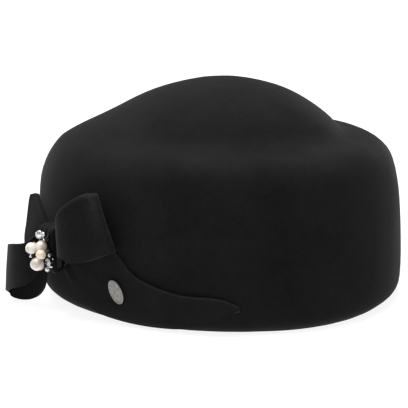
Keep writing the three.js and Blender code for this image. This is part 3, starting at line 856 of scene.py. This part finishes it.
def walked(points, share):
    """The point at a share of the length of a line of points."""
    lengths = [(after - before).length for before, after in zip(points, points[1:])]
    left = (share % 1) * sum(lengths)
    for before, after, length in zip(points, points[1:], lengths):
        if left <= length:
            return before.lerp(after, left / length)
        left -= length
    return points[-1].copy()


print("points round the wrap:", len(wrap_line()))


# %% Knot
def make_knot():
    outline = wrap_line()

    def place(along, across):
        point = walked(outline, along)
        way = (walked(outline, along + ALONG_A_BIT) - walked(outline, along - ALONG_A_BIT)).normalized()
        edge = abs(2 * across - 1)
        pleat = PLEAT_DEPTH * math.cos(2 * math.pi * PLEATS * (across - 0.5)) * (1 - edge**4)
        push = pleat - KNOT_ROLL * edge**6
        rise, out = point.x + way.y * push, point.y - way.x * push
        return knot_axes @ Vector(((across - 0.5) * KNOT_WIDTH, rise, out))

    piece = make_strip("felt_knot", 120, 18, place)
    cut = {"area": sum(face.area for face in piece.data.polygons), "width": KNOT_WIDTH}
    cut["length"] = cut["area"] / KNOT_WIDTH
    bpy.ops.object.mode_set(mode="EDIT")
    bpy.ops.mesh.select_all(action="SELECT")
    bpy.ops.mesh.remove_doubles(threshold=SEAM)
    outward(piece)
    thicken(piece, BOW_FELT, 0, STRIP_EDGE)
    return piece, cut


knot, cut = make_knot()
finished(knot, bow_felt, ["knot"])
declare_sheet(knot, cut)

# %% [markdown]
# The hard pieces come from Blender's own primitives, cut and bevelled in edit mode, then moved into the
# knot's axes. First come their finishes. One recipe with small scratches makes every metal: pale gold
# for the pearls' cups, silver for the stones' cups, bronze painted dark as shade for the base and grey
# steel for the pin plate. A pearl's colour lies in thin layers, so it drifts between cream and rose,
# under a clear coat. Real glass would need a clear shader and many bounces of light, so a cut stone is
# a shiny solid whose facets each carry a painted glint or painted reflection, bright or dark.


# %% Finishes of the brooch and the pin
def metal_finish(name, dark, light, rough, grain, metallic=1):
    finish = Finish(name)
    tarnish = finish.noise(600, detail=3, roughness=0.6)
    scratches = finish.noise(grain, detail=2)
    colour = finish.ramp(tarnish, [(0.35, dark), (0.65, light)])
    surface = finish.bump(scratches, 0.02 * mm, 0.5)
    rough = rough + (scratches - 0.5) * 0.15
    return finish.set(Base_Color=colour, Metallic=metallic, Roughness=rough, Normal=surface)


def pearl_finish(name, shade, body, rose):
    finish = Finish(name)
    layers = finish.noise(260, detail=2, roughness=0.4)
    fine = finish.noise(2200, detail=1)
    colour = finish.ramp(layers * 0.85 + fine * 0.15, [(0.34, shade), (0.5, body), (0.66, rose)])
    surface = finish.bump(layers, 0.05 * mm, 0.4)
    finish.shader.inputs["Coat Roughness"].default_value = 0.06
    finish.shader.inputs["Coat IOR"].default_value = 1.6
    finish.shader.inputs["Specular IOR Level"].default_value = 0.6
    rough = 0.3 + (fine - 0.5) * 0.1
    return finish.set(Base_Color=colour, Roughness=rough, Coat_Weight=1, Normal=surface)


def stone_finish():
    finish = Finish("cut_crystal")
    tone = finish.attribute("facet_glint")
    # painted glints and painted reflections: each facet bright or dark
    stops = [(0, (0.02, 0.02, 0.022)), (0.5, (0.42, 0.44, 0.46)), (1, (0.93, 0.95, 0.97))]
    colour = finish.ramp(tone, stops)
    finish.shader.inputs["Coat Roughness"].default_value = 0.02
    return finish.set(Base_Color=colour, Roughness=0.05 + tone * 0.05, Metallic=0.75, Coat_Weight=0.6)


gold = metal_finish("pale_gold", (0.56, 0.47, 0.3), (0.86, 0.77, 0.56), 0.4, 3200, metallic=0.45)
silver = metal_finish("bright_silver", (0.55, 0.55, 0.56), (0.86, 0.86, 0.87), 0.18, 3200)
# the base's bronze is painted dark as the shade that falls among the pearls
shaded_bronze = metal_finish("shade_darkened_bronze", (0.035, 0.03, 0.024), (0.08, 0.068, 0.05), 0.34, 2400)
steel = metal_finish("satin_steel", (0.18, 0.172, 0.16), (0.28, 0.268, 0.25), 0.42, 2600)
cream_pearl = pearl_finish("cream_pearl", (0.6, 0.53, 0.46), (0.88, 0.82, 0.75), (0.9, 0.8, 0.73))
peach_pearl = pearl_finish("peach_pearl", (0.72, 0.52, 0.32), (0.85, 0.67, 0.48), (0.89, 0.73, 0.58))
crystal = stone_finish()
print("metals:", gold.name, silver.name, shaded_bronze.name, steel.name)
print("pearls and stones:", cream_pearl.name, peach_pearl.name, crystal.name)

# %% [markdown]
# Four pearls crowd together, and the middle one is peach and the smallest. Pearls are seldom quite
# round, so each is a sphere with a flatter back, pushed in and out a little. The cluster's table
# gives each pearl, stone and bead its place on the base in the knot's axes and its radius, all as
# shares of the largest pearl's radius, the same shares as in the CAD model.

# %% The cluster's table
PEARL_RADIUS = 3.5 * mm
PEARLS = {
    "pearl_top_left": (-1.029, 0.4, 1.686, 0.886),
    "pearl_top_right": (0.686, 0.943, 1.171, 0.8),
    "pearl_middle": (1.829, 0.143, 2.086, 0.686),
    "pearl_bottom": (0, -1.914, 1.514, 1),
}
STONES = {
    "stone_top": (0.257, 2.629, 0.971, 0.571),
    "stone_ring": (2.086, -1.257, 0.971, 0.514),
    "stone_side": (2.229, -0.229, 0.829, 0.229),
    "stone_low": (1.543, -2.571, 0.8, 0.314),
}
BEADS = {
    "bead_top": (1.314, 2.943, 1.029, 0.329),
    "bead_tiny": (1.314, 2.143, 0.971, 0.2),
    "bead_left": (-1.6, -1.029, 1.429, 0.257),
}


def seat(shares):
    """The middle of a round piece in the knot's axes, and its radius."""
    along, rise, out, radius = [share * PEARL_RADIUS for share in shares]
    return Vector((along, rise, brooch_back + out)), radius


def into_knot(piece, middle=(0, 0, 0)):
    """Moves a piece that was made about the origin to its place in the knot's axes."""
    piece.data.transform(knot_axes @ Matrix.Translation(middle))


print("pearls, stones and beads:", len(PEARLS), len(STONES), len(BEADS))

# %% Pearls
FLATTER_BACK = 0.975
PEARL_DENT = 0.02
PEARL_DENT_SIZE = 0.9
PEACH = "pearl_middle"

for name, shares in PEARLS.items():
    middle, radius = seat(shares)
    nothing_selected()
    bpy.ops.mesh.primitive_uv_sphere_add(segments=40, ring_count=24, radius=radius)
    piece = bpy.context.object
    piece.name = "lustre_" + name
    for vertex in piece.data.vertices:
        vertex.co.z *= FLATTER_BACK if vertex.co.z < 0 else 1
    handled(piece, PEARL_DENT * radius, PEARL_DENT_SIZE * radius)
    into_knot(piece, middle)
    if name == PEACH:
        finished(piece, peach_pearl, [name])
    else:
        finished(piece, cream_pearl, [name])

# %% [markdown]
# Each cut stone has a flat table, star facets and kites down to its girdle, and a pointed back. A cone
# with bevels has no such kites, so the facets are drawn ring by ring. Each facet carries a painted
# glint, bright or dark, from a fixed noise, and one stone's table is painted dark as a reflection, as
# the photograph shows.

# %% Cut stones
STONE_SIDES = 8
# the tables' painted glint, the one painted dark reflection, and the least painted glint of a facet
TABLE_GLINT = 0.86
DARK_TABLE_REFLECTION = 0.02
LEAST_GLINT = 0.35
DARK_REFLECTION_STONE = "stone_ring"
LEANS = {"stone_top": math.radians(35), "stone_low": math.radians(20)}


def stone_mesh(radius, seed, table_glint):
    """A brilliant cut: rings of points from the table down to the girdle, and a culet below."""
    mesh = bmesh.new()

    def ring(share, height, count, shift):
        made = []
        for index in range(count):
            turn = 2 * math.pi * (index + shift) / count
            reach = share * radius
            place = (reach * math.cos(turn), reach * math.sin(turn), height * radius)
            made.append(mesh.verts.new(place))
        return made

    table = ring(0.56, 0.46, STONE_SIDES, 0)
    kites = ring(0.8, 0.26, STONE_SIDES, 0.5)
    girdle = ring(1, 0.04, 2 * STONE_SIDES, 0)
    waist = ring(1, -0.04, 2 * STONE_SIDES, 0)
    culet = mesh.verts.new((0, 0, -0.5 * radius))
    mesh.faces.new(table)
    for index in range(STONE_SIDES):
        after = (index + 1) % STONE_SIDES
        before = index - 1
        left, middle = girdle[2 * index], girdle[2 * index + 1]
        right = girdle[(2 * index + 2) % (2 * STONE_SIDES)]
        mesh.faces.new((table[index], kites[index], table[after]))
        mesh.faces.new((table[index], kites[before], left, kites[index]))
        mesh.faces.new((kites[index], left, middle))
        mesh.faces.new((kites[index], middle, right))
    for index in range(2 * STONE_SIDES):
        after = (index + 1) % (2 * STONE_SIDES)
        mesh.faces.new((girdle[index], waist[index], waist[after], girdle[after]))
        mesh.faces.new((waist[index], culet, waist[after]))
    bmesh.ops.recalc_face_normals(mesh, faces=mesh.faces)
    data = bpy.data.meshes.new("cut")
    mesh.to_mesh(data)
    mesh.free()
    # each facet's colour is a painted glint or painted reflection from a fixed noise
    glints = data.attributes.new("facet_glint", "FLOAT", "FACE")
    for index, face in enumerate(data.polygons):
        spread = noise.cell(Vector((index * 1.37 + seed, seed * 2.1, 0.5)))
        glints.data[index].value = LEAST_GLINT + (1 - LEAST_GLINT) * abs(spread)
    glints.data[0].value = table_glint
    return data


print("facets round a stone:", STONE_SIDES)

# %% [markdown]
# Each stone sits in a small metal cup, and claws hold it. The cup is an open cone with a thin wall, and
# each claw is a bead of metal on its rim, joined to it. The cup, the claws and their stone lean
# together.

# %% The stones' cups
CUP_FOOT = 0.62
CUP_MOUTH = 1.12
CUP_DEPTH = 0.7
CLAWS = 6
CLAW = 0.17
CLAW_RING = 1.04


def bevelled(piece, width, segments=2, angle=30):
    edge = piece.modifiers.new("edge", "BEVEL")
    edge.width = width
    edge.segments = segments
    edge.limit_method = "ANGLE"
    edge.angle_limit = math.radians(angle)
    apply_all(piece)


def claw_ring(radius):
    """A metal cup with a rolled rim, and the claws that hold the stone."""
    nothing_selected()
    bpy.ops.mesh.primitive_cone_add(
        vertices=28,
        radius1=CUP_FOOT * radius,
        radius2=CUP_MOUTH * radius,
        depth=CUP_DEPTH * radius,
        end_fill_type="NOTHING",
        location=(0, 0, -0.3 * radius),
    )
    cup = bpy.context.object
    bpy.ops.object.transform_apply(location=True)
    wall = cup.modifiers.new("thickness", "SOLIDIFY")
    wall.thickness = 0.1 * radius
    wall.offset = 1
    apply_all(cup)
    bevelled(cup, 0.03 * radius)
    claws = []
    for index in range(CLAWS):
        turn = 2 * math.pi * (index + 0.5) / CLAWS
        reach = CLAW_RING * radius
        place = (reach * math.cos(turn), reach * math.sin(turn), 0.1 * radius)
        tip = CLAW * radius
        bpy.ops.mesh.primitive_uv_sphere_add(segments=10, ring_count=8, radius=tip, location=place)
        claws.append(bpy.context.object)
    for claw in claws:
        claw.select_set(True)
    cup.select_set(True)
    bpy.context.view_layer.objects.active = cup
    bpy.ops.object.join()
    return cup


for seed, (name, shares) in enumerate(STONES.items()):
    middle, radius = seat(shares)
    data = stone_mesh(radius, seed + 3, DARK_TABLE_REFLECTION if name == DARK_REFLECTION_STONE else TABLE_GLINT)
    stone = bpy.data.objects.new("cut_" + name, data)
    bpy.context.scene.collection.objects.link(stone)
    lean = Matrix.Rotation(LEANS.get(name, 0), 4, "Y")
    stone.data.transform(lean)
    into_knot(stone, middle)
    finished(stone, crystal, [name])
    cup = claw_ring(radius)
    cup.name = "cup_" + name
    cup.data.transform(lean)
    into_knot(cup, middle)
    finished(cup, silver, [])

# %% [markdown]
# The base is a round plate with an arm and a peg to every seat. Its bronze is painted dark as the shade
# that falls among the pearls. It could be one cast mesh, but plates, bars and pegs that are joined are
# quicker to place. Each pearl rests in a cup, whose rim shows as a thin gold crescent, and two small
# leaves of plain metal stick out beside the stones.

# %% Pieces of the brooch's base
BASE_RADIUS = 5 * mm
BASE_THICK = 1 * mm
ARM_WIDTH = 1.4 * mm
PEARL_PEG = 0.6 * mm
PEG_SHORT = 0.2 * mm
BEAD_PEG = 0.3 * mm
CUP_OFF = 0.16 * mm
CUP_WALL = 0.28 * mm
CUP_REACH = {"pearl_top_left": 58, "pearl_top_right": 86, "pearl_middle": 70, "pearl_bottom": 66}
LEAVES = [
    (Vector((6.4, -7.4, 2.6)) * mm, Vector((9.7, -6.6, 2.2)) * mm),
    (Vector((9, -2.3, 1.9)) * mm, Vector((9.9, -2.7, 1.8)) * mm),
]


def round_plate(radius, back, front, place=(0, 0)):
    middle = (place[0], place[1], (back + front) / 2)
    bpy.ops.mesh.primitive_cylinder_add(vertices=48, radius=radius, depth=front - back, location=middle)
    made = bpy.context.object
    bpy.ops.object.transform_apply(location=True)
    return made


def pearl_cup(shares, reach):
    """The back of a sphere a little larger than the pearl, given a thin wall."""
    middle, radius = seat(shares)
    bpy.ops.mesh.primitive_uv_sphere_add(segments=36, ring_count=36, radius=radius + CUP_OFF)
    cup = bpy.context.object
    rim = -(radius + CUP_OFF) * math.cos(math.radians(reach))
    bpy.ops.object.mode_set(mode="EDIT")
    pick(cup, lambda v: v.co.z > rim + SAME_PLACE)
    bpy.ops.mesh.delete(type="VERT")
    bpy.ops.object.mode_set(mode="OBJECT")
    wall = cup.modifiers.new("thickness", "SOLIDIFY")
    wall.thickness = CUP_WALL
    wall.offset = 1
    apply_all(cup)
    cup.data.transform(Matrix.Translation(middle))
    return cup


def arm(place):
    length = math.hypot(place.x, place.y)
    bpy.ops.mesh.primitive_cube_add(size=1, location=(length / 2, 0, 0))
    made = bpy.context.object
    made.scale = (length, ARM_WIDTH, BASE_THICK * 0.9)
    bpy.ops.object.transform_apply(location=True, scale=True)
    turn = Matrix.Rotation(math.atan2(place.y, place.x), 4, "Z")
    made.data.transform(Matrix.Translation((0, 0, brooch_back + BASE_THICK / 2)) @ turn)
    return made


def leaf(start, end):
    """A small pointed leaf of metal between two points."""
    bpy.ops.mesh.primitive_uv_sphere_add(segments=20, ring_count=12, radius=1)
    made = bpy.context.object
    way = end - start
    made.data.transform(Matrix.Diagonal((way.length / 2, 0.5 * mm, 0.22 * mm, 1)))
    turned = way.to_track_quat("X", "Z").to_matrix().to_4x4()
    made.data.transform(Matrix.Translation((start + end) / 2 + Vector((0, 0, brooch_back))) @ turned)
    return made


print("leaves:", len(LEAVES))


# %% Brooch
def make_base():
    nothing_selected()
    pieces = [round_plate(BASE_RADIUS, brooch_back, brooch_back + BASE_THICK)]
    for shares in [*PEARLS.values(), *STONES.values(), *BEADS.values()]:
        pieces.append(arm(seat(shares)[0]))
    for shares in PEARLS.values():
        middle, radius = seat(shares)
        pieces.append(round_plate(PEARL_PEG, brooch_back, middle.z - radius - PEG_SHORT, middle))
    for shares in STONES.values():
        middle, radius = seat(shares)
        pieces.append(round_plate(0.6 * radius, brooch_back, middle.z - 0.62 * radius, middle))
    for shares in BEADS.values():
        middle = seat(shares)[0]
        pieces.append(round_plate(BEAD_PEG, brooch_back, middle.z, middle))
    nothing_selected()
    for made in pieces:
        made.select_set(True)
    bpy.context.view_layer.objects.active = pieces[0]
    bpy.ops.object.join()
    base = bpy.context.object
    base.name = "brooch_metalwork"
    bevelled(base, 0.08 * mm)
    into_knot(base)
    return base


finished(make_base(), shaded_bronze, ["brooch_base"])
for name, shares in PEARLS.items():
    nothing_selected()
    cup = pearl_cup(shares, CUP_REACH[name])
    cup.name = "cup_" + name
    into_knot(cup)
    finished(cup, gold, [])
for index, (start, end) in enumerate(LEAVES):
    nothing_selected()
    made = leaf(start, end)
    made.name = f"leaf_{index + 1}"
    into_knot(made)
    finished(made, silver, [])
for name, shares in BEADS.items():
    middle, radius = seat(shares)
    nothing_selected()
    bpy.ops.mesh.primitive_uv_sphere_add(segments=24, ring_count=16, radius=radius)
    bead = bpy.context.object
    bead.name = name
    into_knot(bead, middle)
    finished(bead, silver, [])

# %% [markdown]
# The plate on the long tail is stamped from thin metal: an oval with a low raised rim, left bare. A
# stretched circle is extruded to the plate's thickness, and each inset then steps in and up or down, as
# the stamp did.

# %% Pin plate
PIN_WIDTH = 7.6 * mm
PIN_LENGTH = 13.6 * mm
PIN_THICK = 0.9 * mm
PIN_LEAN = math.radians(24)
PIN_TURN = math.radians(57.3)
PIN_UP = 19.8 * mm
PIN_OFF = GAP * 2.5 + BOW_FELT
RIM_RISE = 0.12 * mm
PIN_INSETS = [(0.35 * mm, RIM_RISE), (0.4 * mm, 0), (0.3 * mm, -0.16 * mm), (0.7 * mm, 0.03 * mm)]


def pin_axes():
    """The plate's axes, square to the tail's outer face, and leaning."""
    above = wall_point(PIN_TURN, PIN_UP + PIN_LENGTH / 2, PIN_OFF)
    below = wall_point(PIN_TURN, PIN_UP - PIN_LENGTH / 2, PIN_OFF)
    rise = (above - below).normalized()
    along = rise.cross(wall_out(ring_at(PIN_UP), PIN_TURN)).normalized()
    axes = Matrix((along, rise, along.cross(rise))).transposed().to_4x4()
    axes.translation = wall_point(PIN_TURN, PIN_UP, PIN_OFF)
    return axes @ Matrix.Rotation(PIN_LEAN, 4, "Z")


def make_pin():
    nothing_selected()
    bpy.ops.mesh.primitive_circle_add(vertices=56, radius=1, fill_type="NGON")
    pin = bpy.context.object
    pin.name = "steel_plate"
    pin.data.transform(Matrix.Diagonal((PIN_WIDTH / 2, PIN_LENGTH / 2, 1, 1)))
    bpy.ops.object.mode_set(mode="EDIT")
    bpy.ops.mesh.select_all(action="SELECT")
    thick = (0, 0, PIN_THICK - RIM_RISE)
    bpy.ops.mesh.extrude_region_move(TRANSFORM_OT_translate={"value": thick})
    for inwards, depth in PIN_INSETS:
        bpy.ops.mesh.inset(thickness=inwards, depth=depth)
    bpy.ops.object.mode_set(mode="OBJECT")
    outward(pin)
    bevelled(pin, 0.06 * mm, 2, 20)
    pin.data.transform(pin_axes())
    return pin


finished(make_pin(), steel, ["pin_plate"])
